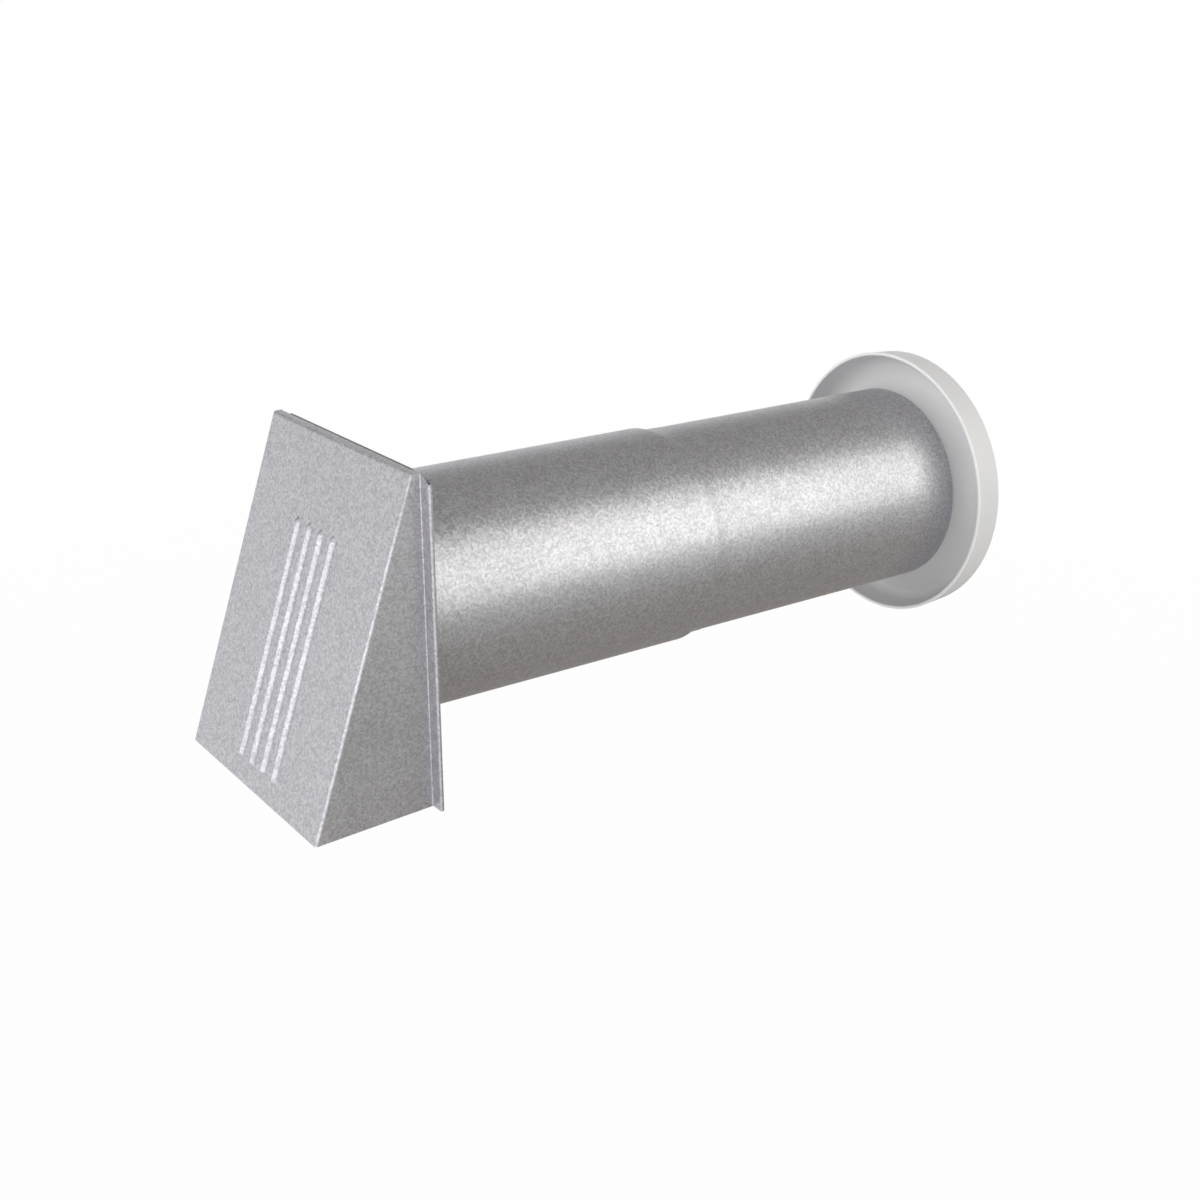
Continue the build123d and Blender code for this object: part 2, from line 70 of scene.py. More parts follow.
# %% [markdown]
# ## Small helpers for materials
# A material here is a tree of nodes. One function turns a colour as a painter would write it
# into the linear numbers that the shaders work with. One adds a node with its settings, its
# values and its links, so that each material reads as a short recipe, and one empties a tree.

# %% Material helpers
def paint(written):
    """Linear colour from an sRGB hex value such as BCBBC0."""
    parts = [int(written[place:place + 2], 16) / 255 for place in (0, 2, 4)]
    linear = [part / 12.92 if part <= 0.04045 else ((part + 0.055) / 1.055) ** 2.4
              for part in parts]
    return (*linear, 1.0)


def add(tree, kind, values=None, **settings):
    """Adds a node: settings are its properties, values are numbers or sockets to link."""
    made = tree.nodes.new(kind)
    for name, setting in settings.items():
        setattr(made, name, setting)
    for name, value in (values or {}).items():
        if isinstance(value, bpy.types.NodeSocket):
            tree.links.new(value, made.inputs[name])
        else:
            made.inputs[name].default_value = value
    return made


def new_tree(owner):
    """Turns on the nodes of a material or world and empties its tree."""
    owner.use_nodes = True
    owner.node_tree.nodes.clear()
    return owner.node_tree


print("white is", paint("FFFFFF"), "middle grey is", [round(part, 3) for part in paint("808080")])

# %% [markdown]
# ## Studio background
# The valve is shown on pure white, as in a catalogue. The white comes from the colour that
# the camera sees, not from strong light: rays from the camera, and rays that bounce off gloss
# or pass through something clear, meet a strength of 1. All other rays meet a weaker fill,
# so that matt white plastic is not burnt out.

# %% World
def seen_share(tree):
    """1 for rays from the camera, off gloss or through something clear, 0 for all others."""
    path = add(tree, "ShaderNodeLightPath")
    seen = add(tree, "ShaderNodeMath", {0: path.outputs["Is Camera Ray"],
                                        1: path.outputs["Is Glossy Ray"]}, operation="MAXIMUM")
    seen = add(tree, "ShaderNodeMath", {0: seen.outputs[0],
                                        1: path.outputs["Is Transmission Ray"]},
               operation="MAXIMUM")
    return seen.outputs[0]


fill_level = 0.46
white = (1, 1, 1, 1)
world = bpy.data.worlds.new("studio_world")
bpy.context.scene.world = world
tree = new_tree(world)
level = add(tree, "ShaderNodeMapRange", {"Value": seen_share(tree), "To Min": fill_level,
                                         "To Max": 1.0})
sky = add(tree, "ShaderNodeBackground", {"Color": white, "Strength": level.outputs[0]})
add(tree, "ShaderNodeOutputWorld", {"Surface": sky.outputs[0]})
print("fill light", fill_level, "of white")

# %% [markdown]
# ## Floor
# A plain pale floor lies well below the valve. It is a matt surface, so it takes the soft
# shadow, but most of what the camera sees of it is an even white, mixed in by the same
# light path trick as the background. Far from the valve that white is all there is, so the
# floor runs into the background with no line.

# %% Floor
floor_drop = 0.46
floor_half = 40.0        # metres from the middle to the edge
floor_middle = 0.15      # metres along the duct, below the valve's middle
shadow_reach = 0.6       # metres round the valve where the floor shows its shadow
white_reach = 2.5        # metres from which on it is plain white
white_share = 0.96       # how much of the floor is even white within the shadow's reach
floor_mesh = bmesh.new()
bmesh.ops.create_grid(floor_mesh, x_segments=1, y_segments=1, size=floor_half,
                      matrix=Matrix.Translation((0, floor_middle, -floor_drop)))
floor_data = bpy.data.meshes.new("floor")
floor_mesh.to_mesh(floor_data)
floor_mesh.free()
floor = bpy.data.objects.new("floor", floor_data)
bpy.context.scene.collection.objects.link(floor)
floor_paint = bpy.data.materials.new("matt_white_board")
tree = new_tree(floor_paint)
spot = add(tree, "ShaderNodeTexCoord")
away = add(tree, "ShaderNodeVectorMath", {0: spot.outputs["Object"]}, operation="LENGTH")
even_share = add(tree, "ShaderNodeMapRange",
                 {"Value": away.outputs["Value"], "From Min": shadow_reach,
                  "From Max": white_reach, "To Min": white_share, "To Max": 1.0})
share = add(tree, "ShaderNodeMath", {0: seen_share(tree), 1: even_share.outputs[0]},
            operation="MULTIPLY")
matt = add(tree, "ShaderNodeBsdfDiffuse", {"Color": paint("E2E2E2")})
even = add(tree, "ShaderNodeEmission", {"Color": white, "Strength": 1.0})
both = add(tree, "ShaderNodeMixShader", {0: share.outputs[0], 1: matt.outputs[0],
                                         2: even.outputs[0]})
add(tree, "ShaderNodeOutputMaterial", {"Surface": both.outputs[0]})
floor_data.materials.append(floor_paint)
print("floor", floor_drop, "m below the duct's axis")

# %% [markdown]
# ## Lamps
# A coated steel tube shows its studio like a curved mirror. One long soft lamp lies parallel
# to the duct, behind the valve on its right, and gives the broad bright band along both
# sleeves. A smaller one in front of the hood lights the pressed beads and the folded edge.
# A third, which no gloss picks up, only lifts the back of the white ring.

# %% Lamps
def turned(place, target, long_axis):
    """Rotation of a lamp or card that faces the target, its own Y along the long axis."""
    back = (place - target).normalized()
    along = (long_axis - long_axis.dot(back) * back).normalized()
    across = along.cross(back)
    return Matrix((across, along, back)).transposed()


def soft_lamp(name, place, target, long_axis, width, length, watts, tint, in_gloss=True):
    """A rectangular lamp, with its light in watts."""
    data = bpy.data.lights.new(name, "AREA")
    data.shape = "RECTANGLE"
    data.size = width
    data.size_y = length
    data.energy = watts
    data.color = paint(tint)[:3]
    lamp = bpy.data.objects.new(name, data)
    lamp.matrix_world = Matrix.Translation(place) @ turned(place, target, long_axis).to_4x4()
    lamp.visible_glossy = in_gloss
    bpy.context.scene.collection.objects.link(lamp)


duct_axis, upright = Vector((0, 1, 0)), Vector((0, 0, 1))
band_angle = 28.2        # degrees above the level, as seen along the duct
band_turn = math.radians(band_angle)
band_reach = 1.0         # metres from the duct's axis
band_middle = Vector((0, 0.95, 0))
band_away = Vector((math.cos(band_turn), 0, math.sin(band_turn))) * band_reach
soft_lamp("band_lamp", band_away + band_middle, band_middle, duct_axis,
          width=1.12, length=1.25, watts=8.8, tint="FFFFF8")
soft_lamp("bead_lamp", Vector((0.42, -0.95, 0.10)), Vector((0.3, 0, 0.05)), upright,
          width=1.2, length=0.50, watts=2.75, tint="FFFFFF")
soft_lamp("ring_lamp", Vector((-0.6, -1.2, 0.75)), Vector((0, 0.3, 0)), upright,
          width=2.0, length=1.6, watts=15.0, tint="FFFFFF", in_gloss=False)

# %% [markdown]
# ## Cards
# A photographer who shoots bare metal on white hangs cards round it, because metal that
# mirrors nothing but white has no shape. A card here meets only the rays that bounce off
# gloss, so it changes the metal's mirror picture and takes no light away. A flat card is a
# scaled square turned to its target, and a curved one is one edge spun part of a turn round
# the duct.

# %% Card helpers
card_start, card_end = 0.0, 2.6   # metres along the duct
card_steps = 24


def hang_card(name, mesh, tint, strength=1.0):
    """Makes a card that only glossy rays see."""
    data = bpy.data.meshes.new(name)
    mesh.to_mesh(data)
    mesh.free()
    card = bpy.data.objects.new(name, data)
    bpy.context.scene.collection.objects.link(card)
    card.visible_camera = False
    card.visible_diffuse = False
    card.visible_transmission = False
    card.visible_shadow = False
    board = bpy.data.materials.new(name + "_board")
    board_tree = new_tree(board)
    glow = add(board_tree, "ShaderNodeEmission", {"Color": paint(tint), "Strength": strength})
    add(board_tree, "ShaderNodeOutputMaterial", {"Surface": glow.outputs[0]})
    data.materials.append(board)
    print("hung", name)


def flat_card(name, place, target, long_axis, width, length, tint, strength=1.0):
    """A rectangular card that faces the target."""
    mesh = bmesh.new()
    bmesh.ops.create_grid(mesh, x_segments=1, y_segments=1, size=0.5)
    bmesh.ops.scale(mesh, vec=(width, length, 1), verts=mesh.verts)
    facing = Matrix.Translation(place) @ turned(place, target, long_axis).to_4x4()
    bmesh.ops.transform(mesh, matrix=facing, verts=mesh.verts)
    hang_card(name, mesh, tint, strength)


def curved_card(name, reach, lower, upper, tint):
    """A card on part of a cylinder round the duct, from one angle to another in degrees."""
    mesh = bmesh.new()
    ends = [mesh.verts.new((reach, y, 0)) for y in (card_start, card_end)]
    edge = mesh.edges.new(ends)
    bmesh.ops.rotate(mesh, cent=(0, 0, 0), verts=ends,
                     matrix=Matrix.Rotation(-math.radians(lower), 3, "Y"))
    bmesh.ops.spin(mesh, geom=ends + [edge], cent=(0, 0, 0), axis=(0, -1, 0),
                   angle=math.radians(upper - lower), steps=card_steps)
    hang_card(name, mesh, tint)


print("cards run", card_end - card_start, "m along the duct")

# %% [markdown]
# ## Where the cards hang
# Four curved cards close the round of the duct on both sides of the bright band and under it.
# Below the floor's line they hang nearer, so that the floor does not cut through them. Two
# flat grey ones on the left draw the dark lines beside the hood's beads and along its top
# bend. The last one is bright and stands low in front, for the corner of cheek and flange.

# %% Cards
far_reach, near_reach = 1.35, 0.44
floor_line = -19.5       # degrees, below this a card has to hang nearer than the floor
curved_card("over_card", far_reach, band_angle, 154, "9D9B97")
curved_card("side_card", far_reach, floor_line, band_angle, "ADADA8")
curved_card("low_side_card", near_reach, -35, floor_line, "ADADA8")
curved_card("under_card", near_reach, -133, -35, "A09A92")
flat_card("far_left_card", Vector((-1.4, 0.1, -0.25)), Vector((0, 0.1, -0.25)), duct_axis,
          width=0.4, length=0.8, tint="A3A19E")
flat_card("high_left_card", Vector((-1.3, -0.42, 0.6)), Vector((0, -0.1, 0)), duct_axis,
          width=0.55, length=0.9, tint="504F4E")
flat_card("corner_card", Vector((0.95, -0.55, -0.22)), Vector((0.05, 0, 0)), upright,
          width=0.9, length=0.42, tint="FFFDF9", strength=1.7)

# %% [markdown]
# ## Coated steel
# Hood, plate and sleeves are steel sheet with an aluminium-zinc coating. The coating freezes
# in grains of a millimetre or so, and each grain lies at its own slight tilt, so it mirrors
# its own bit of the studio. That gives the fine sparkle inside a broad soft highlight. Cells
# of a Voronoi pattern stand for the grains: the cell's random colour tilts the normal by a
# degree or so and shifts the tone a little, and a slow noise makes some patches duller. The
# skin of zinc oxide over it is no bare metal, so a small share of the surface is matt.

# %% Coated steel
METRE = 1000.0           # mm
grain_size = 0.95        # mm, a little coarser than the finest grains, so that they show
grain_tilt = 0.05        # how far a grain leans, as a part of the normal's length
bloom_size = 14.0        # mm, patches where the coating is duller


def new_material(name):
    """A material, its node tree, and in the tree the place of a point on the piece."""
    material = bpy.data.materials.new(name)
    tree = new_tree(material)
    return material, tree, add(tree, "ShaderNodeTexCoord").outputs["Object"]


def finish_material(material, tree, shader):
    """Gives the shader to the material's output."""
    add(tree, "ShaderNodeOutputMaterial", {"Surface": shader.outputs[0]})
    print("material", material.name, "with", len(tree.nodes), "nodes")


coated_steel, tree, place = new_material("aluminium_zinc_coated_steel")
grains = add(tree, "ShaderNodeTexVoronoi", {"Vector": place, "Scale": METRE / grain_size})
lean = add(tree, "ShaderNodeVectorMath", {0: grains.outputs["Color"], 1: (0.5, 0.5, 0.5)},
           operation="SUBTRACT")
lean = add(tree, "ShaderNodeVectorMath", {0: lean.outputs[0], "Scale": grain_tilt},
           operation="SCALE")
surface = add(tree, "ShaderNodeNewGeometry")
normal = add(tree, "ShaderNodeVectorMath", {0: lean.outputs[0], 1: surface.outputs["Normal"]},
             operation="ADD")
normal = add(tree, "ShaderNodeVectorMath", {0: normal.outputs[0]}, operation="NORMALIZE")
pick = add(tree, "ShaderNodeSeparateColor", {"Color": grains.outputs["Color"]})
tone = add(tree, "ShaderNodeMix", {0: pick.outputs[0], 6: paint("ABAAAF"), 7: paint("CBCACF")},
           data_type="RGBA")
bloom = add(tree, "ShaderNodeTexNoise", {"Vector": place, "Scale": METRE / bloom_size,
                                         "Detail": 3.0})
rough = add(tree, "ShaderNodeMapRange", {"Value": bloom.outputs[0], "From Min": 0.3,
                                         "From Max": 0.7, "To Min": 0.39, "To Max": 0.45})
steel = add(tree, "ShaderNodeBsdfPrincipled",
            {"Base Color": tone.outputs[2], "Metallic": 0.86, "Roughness": rough.outputs[0],
             "Normal": normal.outputs[0]})
finish_material(coated_steel, tree, steel)

# %% [markdown]
# ## Zinc plating and brass
# The small hidden hardware is bright zinc-plated steel, smoother and a little bluer than the
# sheet, and the bush and nut are turned brass. Both get a soft cloud in their roughness, the
# way handling dulls plated parts, and the brass gets fine rings from the lathe tool.

# %% Zinc and brass
handled_size = 6.0       # mm, clouds that handling leaves
tool_pitch = 2.2         # mm between rings, coarser than real tool marks so that they show
WAVE_BANDS = 20 / math.tau   # bands of a wave texture in one unit at scale 1
zinc_plate, tree, place = new_material("bright_zinc_plate")
cloud = add(tree, "ShaderNodeTexNoise", {"Vector": place, "Scale": METRE / handled_size,
                                         "Detail": 4.0})
rough = add(tree, "ShaderNodeMapRange", {"Value": cloud.outputs[0], "To Min": 0.22,
                                         "To Max": 0.42})
tone = add(tree, "ShaderNodeMix", {0: cloud.outputs[0], 6: paint("B9BEC4"), 7: paint("D2D6DA")},
           data_type="RGBA")
zinc = add(tree, "ShaderNodeBsdfPrincipled",
           {"Base Color": tone.outputs[2], "Metallic": 1.0, "Roughness": rough.outputs[0]})
finish_material(zinc_plate, tree, zinc)

turned_brass, tree, place = new_material("turned_brass")
marks = add(tree, "ShaderNodeTexWave", {"Vector": place, "Distortion": 0.4,
                                        "Scale": METRE / tool_pitch / WAVE_BANDS},
            bands_direction="Y")
bump = add(tree, "ShaderNodeBump", {"Height": marks.outputs["Fac"], "Strength": 0.12,
                                    "Distance": 0.05 * MM})
tone = add(tree, "ShaderNodeMix", {0: marks.outputs["Fac"], 6: paint("B08D4F"),
                                   7: paint("C9A765")}, data_type="RGBA")
brass = add(tree, "ShaderNodeBsdfPrincipled",
            {"Base Color": tone.outputs[2], "Metallic": 1.0, "Roughness": 0.3,
             "Normal": bump.outputs["Normal"]})
finish_material(turned_brass, tree, brass)

# %% [markdown]
# ## Moulded plastic
# The ring, disc, knob and bridge are white styrene plastic from a mould with a finely eroded
# surface. It is a plain insulator, so it has a matt white body under a weak clear gloss. The
# mould's grain is far finer than a pixel, so it is drawn at 0.6 mm, as a very low bump, and a
# slow noise keeps the white from being one flat number. A narrow band at the ring's lip is
# painted
# almost white: painted light, a painted highlight for the light the lip catches beside its shaded
# web.

# %% White plastic
mould_grain = 0.6        # mm
flow_size = 25.0         # mm, clouds where the melt flowed
# Painted light: between these radii and places along the duct the lip's tone is painted almost
# white.
lip_light_from, lip_light_full = 69.1, 69.5       # mm from the axis, where the lip's light begins
lip_light_level, lip_light_end = 317.5, 318.2  # mm along the duct, where it ends
white_plastic, tree, place = new_material("moulded_white_styrene")
skin = add(tree, "ShaderNodeTexNoise", {"Vector": place, "Scale": METRE / mould_grain,
                                        "Detail": 2.0})
bump = add(tree, "ShaderNodeBump", {"Height": skin.outputs[0], "Strength": 0.18,
                                    "Distance": 0.04 * MM})
cloud = add(tree, "ShaderNodeTexNoise", {"Vector": place, "Scale": METRE / flow_size,
                                         "Detail": 2.0})
tone = add(tree, "ShaderNodeMix", {0: cloud.outputs[0], 6: paint("D7D6D7"), 7: paint("DDDCDD")},
           data_type="RGBA")
along = add(tree, "ShaderNodeSeparateXYZ", {"Vector": place})
flat = add(tree, "ShaderNodeVectorMath", {0: place, 1: (1, 0, 1)}, operation="MULTIPLY")
radius = add(tree, "ShaderNodeVectorMath", {0: flat.outputs["Vector"]}, operation="LENGTH")
# Painted light: a mask of the lip's edge band, where the light that falls on the lip is painted
# in.
at_wall = add(tree, "ShaderNodeMapRange", {"Value": radius.outputs["Value"],
                                           "From Min": lip_light_from * MM,
                                           "From Max": lip_light_full * MM})
at_lip = add(tree, "ShaderNodeMapRange", {"Value": along.outputs["Y"],
                                          "From Min": lip_light_level * MM,
                                          "From Max": lip_light_end * MM,
                                          "To Min": 1.0, "To Max": 0.0})
painted_lip_light = add(tree, "ShaderNodeMath", {0: at_wall.outputs[0], 1: at_lip.outputs[0]},
           operation="MULTIPLY")
# Painted highlight: the lip's band is mixed towards almost white.
tone = add(tree, "ShaderNodeMix", {0: painted_lip_light.outputs[0], 6: tone.outputs[2], 7: paint("FBFBFC")},
           data_type="RGBA")
rough = add(tree, "ShaderNodeMapRange", {"Value": skin.outputs[0], "To Min": 0.36,
                                         "To Max": 0.48})
plastic = add(tree, "ShaderNodeBsdfPrincipled",
              {"Base Color": tone.outputs[2], "Roughness": rough.outputs[0], "IOR": 1.53,
               "Normal": bump.outputs["Normal"]})
finish_material(white_plastic, tree, plastic)

# %% [markdown]
# ## Rubber and filter fleece
# The two seals are black synthetic rubber: dark, dull and a little dusty. The filter mat is
# a fleece of white polyester fibres. Its fibres are thinner than a pixel, so stretched noise
# in two directions, drawn at about 0.8 mm, stands for the tangle.

# %% Rubber and fleece
dust_size = 2.5          # mm
fibre = 0.8              # mm
fibre_ways = ((1.0, 0.5, 0.12), (0.12, 0.5, 1.0))   # the noise is stretched where this is low
seal_rubber, tree, place = new_material("black_synthetic_rubber")
dust = add(tree, "ShaderNodeTexNoise", {"Vector": place, "Scale": METRE / dust_size,
                                        "Detail": 5.0})
tone = add(tree, "ShaderNodeMix", {0: dust.outputs[0], 6: paint("1B1B1C"), 7: paint("2D2D2E")},
           data_type="RGBA")
bump = add(tree, "ShaderNodeBump", {"Height": dust.outputs[0], "Strength": 0.2,
                                    "Distance": 0.05 * MM})
rubber = add(tree, "ShaderNodeBsdfPrincipled",
             {"Base Color": tone.outputs[2], "Roughness": 0.68, "Normal": bump.outputs["Normal"]})
finish_material(seal_rubber, tree, rubber)

filter_fleece, tree, place = new_material("polyester_fleece")
tangles = []
for stretch in fibre_ways:
    along = add(tree, "ShaderNodeMapping", {"Vector": place, "Scale": stretch})
    tangles.append(add(tree, "ShaderNodeTexNoise",
                       {"Vector": along.outputs[0], "Scale": METRE / fibre, "Detail": 3.0,
                        "Distortion": 1.2}))
tangle = add(tree, "ShaderNodeMath", {0: tangles[0].outputs[0], 1: tangles[1].outputs[0]},
             operation="MAXIMUM")
tone = add(tree, "ShaderNodeMapRange", {"Value": tangle.outputs[0], "From Min": 0.35,
                                        "From Max": 0.75})
tone = add(tree, "ShaderNodeMix", {0: tone.outputs[0], 6: paint("B7B6B0"), 7: paint("ECEBE6")},
           data_type="RGBA")
bump = add(tree, "ShaderNodeBump", {"Height": tangle.outputs[0], "Strength": 0.7,
                                    "Distance": 0.6 * MM})
fleece = add(tree, "ShaderNodeBsdfPrincipled",
             {"Base Color": tone.outputs[2], "Roughness": 0.95, "Sheen Weight": 0.25,
              "Normal": bump.outputs["Normal"]})
finish_material(filter_fleece, tree, fleece)

# %% [markdown]
# ## Dressing the model's own solids
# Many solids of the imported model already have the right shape, such as the plate, the bridge
# and the small hardware. They stay and only get their finish. The record says which finish
# each one has.

# %% Finishes for the solids
finishes = {
    "aluzinc_steel": coated_steel, "zinc_plated_steel": zinc_plate,
    "white_plastic": white_plastic, "black_rubber": seal_rubber,
    "filter_fibre": filter_fleece, "brass": turned_brass}
wears = {
    "aluzinc_steel": ["hood", "back_plate", "outer_tube", "inner_tube"],
    "zinc_plated_steel": ["insect_mesh", "mesh_frame", "bridge_screws", "filter_clip", "spindle",
                          "thrust_washer", "circlip", "knob_screw"],
    "white_plastic": ["valve_ring", "bridge", "filter_frame", "knob", "knob_cap", "valve_disc"],
    "black_rubber": ["tube_seal", "disc_seal"],
    "filter_fibre": ["filter_pad"],
    "brass": ["spindle_bush", "disc_nut"]}
for finish, names in wears.items():
    for name in names:
        nodes[name].data.materials.clear()
        nodes[name].data.materials.append(finishes[finish])
    print(finish, "on", ", ".join(names))

# %% [markdown]
# ## A helper that finishes a piece
# Every new piece is drawn in millimetres, because the valve's drawing is. The helper welds
# doubled points, turns the faces outwards, scales to metres, shades smooth up to sharp
# edges, and hangs the piece on the body of the model that it moves with. A folded piece is
# drawn as its outer skin only, and gets the sheet's thickness inwards. Sharp edges are marked
# after that, so that cut edges stay crisp, and weighted normals keep the large flat faces flat
# beside their rounded bends.

# %% Piece helper
weld = 0.001             # mm, points closer than this are one


def piece(name, mesh, body, finish, replaced=(), crease=32, thickness=None):
    """Turns a drawing in millimetres into a finished object that rides on a body."""
    bmesh.ops.remove_doubles(mesh, verts=mesh.verts, dist=weld)
    if thickness is None:
        bmesh.ops.recalc_face_normals(mesh, faces=mesh.faces)
    bmesh.ops.scale(mesh, vec=(MM, MM, MM), verts=mesh.verts)
    data = bpy.data.meshes.new(name)
    mesh.to_mesh(data)
    mesh.free()
    made = bpy.data.objects.new(name, data)
    bpy.context.scene.collection.objects.link(made)
    if thickness:
        wall = made.modifiers.new("sheet", "SOLIDIFY")
        wall.thickness = thickness * MM
        wall.offset = -1
        wall.use_even_offset = True
        finished = made.evaluated_get(bpy.context.evaluated_depsgraph_get())
        data = bpy.data.meshes.new_from_object(finished)
        made.modifiers.remove(wall)
        made.data = data
        data.name = name
    data.shade_smooth()
    data.set_sharp_from_angle(angle=math.radians(crease))
    data.materials.clear()
    data.materials.append(finishes[finish])
    weighted = made.modifiers.new("flat_faces", "WEIGHTED_NORMAL")
    weighted.keep_sharp = True
    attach(made, body)
    if replaced:
        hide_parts(*replaced)
    print(name, len(data.polygons), "faces")
    return made


print("pieces are welded at", weld, "mm")

# %% [markdown]
# ## Turned pieces
# Sleeves and ring are round about the duct's axis, so they are made as on a lathe: an outline
# of half the cross-section is drawn as edges, each point a radius and a place along the
# duct, and spun once round the axis. Corners that are rounded on the real piece are then
# bevelled ring by ring, which is quicker to change than arcs in the outline.

# %% Lathe helper
near = 0.02              # mm, how exactly a point has to lie at a place to be picked
round_steps = 128


def edges_where(mesh, test):
    """The edges with both points passing a test."""
    return [edge for edge in mesh.edges if all(test(vert.co) for vert in edge.verts)]


def round_off(mesh, edges, size, segments):
    """Rounds edges with a bevel."""
    bmesh.ops.bevel(mesh, geom=edges, offset=size, offset_type="OFFSET", affect="EDGES",
                    segments=segments, profile=0.5, material=-1, clamp_overlap=False)


def lathe(outline, steps, roundings=(), closed=True):
    """Spins an outline of (radius, y) points. Roundings are (radius, y, size, segments)."""
    mesh = bmesh.new()
    chain = [mesh.verts.new((radius, y, 0)) for radius, y in outline]
    following = chain[1:] + chain[:1] if closed else chain[1:]
    edges = [mesh.edges.new(pair) for pair in zip(chain, following)]
    bmesh.ops.spin(mesh, geom=chain + edges, cent=(0, 0, 0), axis=(0, 1, 0), angle=math.tau,
                   steps=steps, use_merge=True)
    bmesh.ops.remove_doubles(mesh, verts=mesh.verts, dist=weld)
    bmesh.ops.recalc_face_normals(mesh, faces=mesh.faces)
    for radius, y, size, segments in roundings:
        corner = edges_where(mesh, lambda point: abs(math.hypot(point.x, point.z) - radius) < near
                             and abs(point.y - y) < near)
        round_off(mesh, corner, size, segments)
    return mesh


print("round pieces have", round_steps, "sides")

# %% [markdown]
# ## Outer sleeve
# A length of 106 mm tube with a rim turned out flat against the back plate, and its indoor
# end drawn in to a thin neck that grips the inner sleeve. In the photo the bright band runs
# over the joint without a line, so taper and neck stay plain and share smooth normals.

# %% Outer sleeve
sheet = 0.6
outer_radius = 53.0
rim_front, rim_radius = -1.85, 57.6
draw_bend, draw_end = 158.8, 163.5      # where the sleeve is drawn in
mouth_round, rim_bend = 0.9, 0.5
neck_outside, neck_bore, neck_end = 51.3, 51.18, 172.0
inside = outer_radius - sheet
outline = [
    (inside, rim_front), (rim_radius, rim_front), (rim_radius, rim_front + sheet),
    (outer_radius, rim_front + sheet), (outer_radius, draw_bend),
    (neck_outside, draw_end), (neck_outside, neck_end), (neck_bore, neck_end),
    (neck_bore, draw_end), (inside, draw_bend)]
mesh = lathe(outline, round_steps, [
    (inside, rim_front, mouth_round, 4), (outer_radius, rim_front + sheet, rim_bend, 3)])
piece("outer_sleeve", mesh, "outer", "aluzinc_steel", ["outer_tube"])

# %% [markdown]
# ## Inner sleeve
# A plain tube that slides in the outer one. Its hidden end has a small lip, so that it
# cannot be pulled out at a slant, and both cut edges are very slightly broken.

# %% Inner sleeve
inner_radius, guide_radius = 51.1, 52.1
inner_start, inner_end = 130.0, 318.5
edge_break = 0.18
inside = inner_radius - sheet
outline = [
    (inside, inner_start), (guide_radius, inner_start), (guide_radius, inner_start + sheet),
    (inner_radius, inner_start + sheet), (inner_radius, inner_end), (inside, inner_end)]
mesh = lathe(outline, round_steps, [
    (inner_radius, inner_end, edge_break, 2), (inside, inner_end, edge_break, 2),
    (guide_radius, inner_start, edge_break, 2)])
piece("inner_sleeve", mesh, "indoor", "aluzinc_steel", ["inner_tube"])

# %% [markdown]
# ## Hood: the pressed front
# The hood is cut and folded from one sheet. Half of its front is drawn flat, like the blank
# on the press, and cut finely only where the stiffening beads are. Each bead is pressed by
# lifting the points with a smooth bump round a straight line, which leaves a rounded crest
# and soft roots, as a press does. Then the front is laid on its slope.

# %% Hood front
hood_half = 63.2
top_edge = Vector((0, -6.1, 73.7))
foot_edge = Vector((0, -57.2, -75.6))
front_length = (foot_edge - top_edge).length
bead_places = (5.5, 16.5)
bead_crest = 1.3
bead_reach = 2.6         # half of a bead's width
bead_top, bead_foot = 40.3, 146.7   # down the front
groove_place = 3.0       # from the bead's middle to the shallow groove that the press leaves
groove_reach, groove_depth = 0.9, 0.14
fine_cuts = 11           # on each side of a bead's middle
coarse_step = 11.0       # between the cuts across a bead's length


def soft_step(share):
    """1 at the middle of a bump, 0 from its edge on, level at both."""
    return 0.5 + 0.5 * math.cos(math.pi * min(abs(share), 1))


def pressed(x, down):
    """How far the press lifted the sheet at a point of the front."""
    line = min(bead_places, key=lambda place: abs(x - place))
    off = math.hypot(x - line, max(bead_top - down, down - bead_foot, 0))
    return (bead_crest * soft_step(off / bead_reach)
            - groove_depth * soft_step((off - groove_place) / groove_reach))


def whole(mesh):
    """All points, edges and faces of a mesh."""
    return mesh.verts[:] + mesh.edges[:] + mesh.faces[:]


mesh = bmesh.new()
bmesh.ops.create_grid(mesh, x_segments=1, y_segments=1, size=0.5)
bmesh.ops.translate(mesh, vec=(0.5, -0.5, 0), verts=mesh.verts)
bmesh.ops.scale(mesh, vec=(hood_half, front_length, 1), verts=mesh.verts)
fine = [step * (groove_place + groove_reach) / fine_cuts
        for step in range(-fine_cuts, fine_cuts + 1)]
cuts_across = [place + step for place in bead_places for step in fine]
cuts_down = [end + step for end in (bead_top, bead_foot) for step in fine]
cuts_down += [bead_top + step * coarse_step for step in range(1, 9)]
for along, cuts in (((1, 0, 0), cuts_across), ((0, -1, 0), cuts_down)):
    for cut in cuts:
        bmesh.ops.bisect_plane(mesh, geom=whole(mesh), plane_co=Vector(along) * cut,
                               plane_no=along)
for vert in mesh.verts:
    vert.co.z = pressed(vert.co.x, -vert.co.y)
slope = math.atan2(top_edge.y - foot_edge.y, top_edge.z - foot_edge.z)
lay = Matrix(((1, 0, 0), (0, math.sin(slope), -math.cos(slope)),
              (0, math.cos(slope), math.sin(slope))))
bmesh.ops.transform(mesh, matrix=Matrix.Translation(top_edge) @ lay.to_4x4(), verts=mesh.verts)
print("front", round(front_length, 1), "mm long at", round(math.degrees(slope), 1), "degrees")

# %% [markdown]
# ## Hood: folding
# Each fold is an extruded edge: the cheek runs back from the front's side to the wall, the
# flange turns outwards, its edge is rolled over the back plate by a half spin, and a short
# return lies behind it. The top tab is folded back from the top edge. The half is mirrored,
# and its skin is turned to face outdoors.

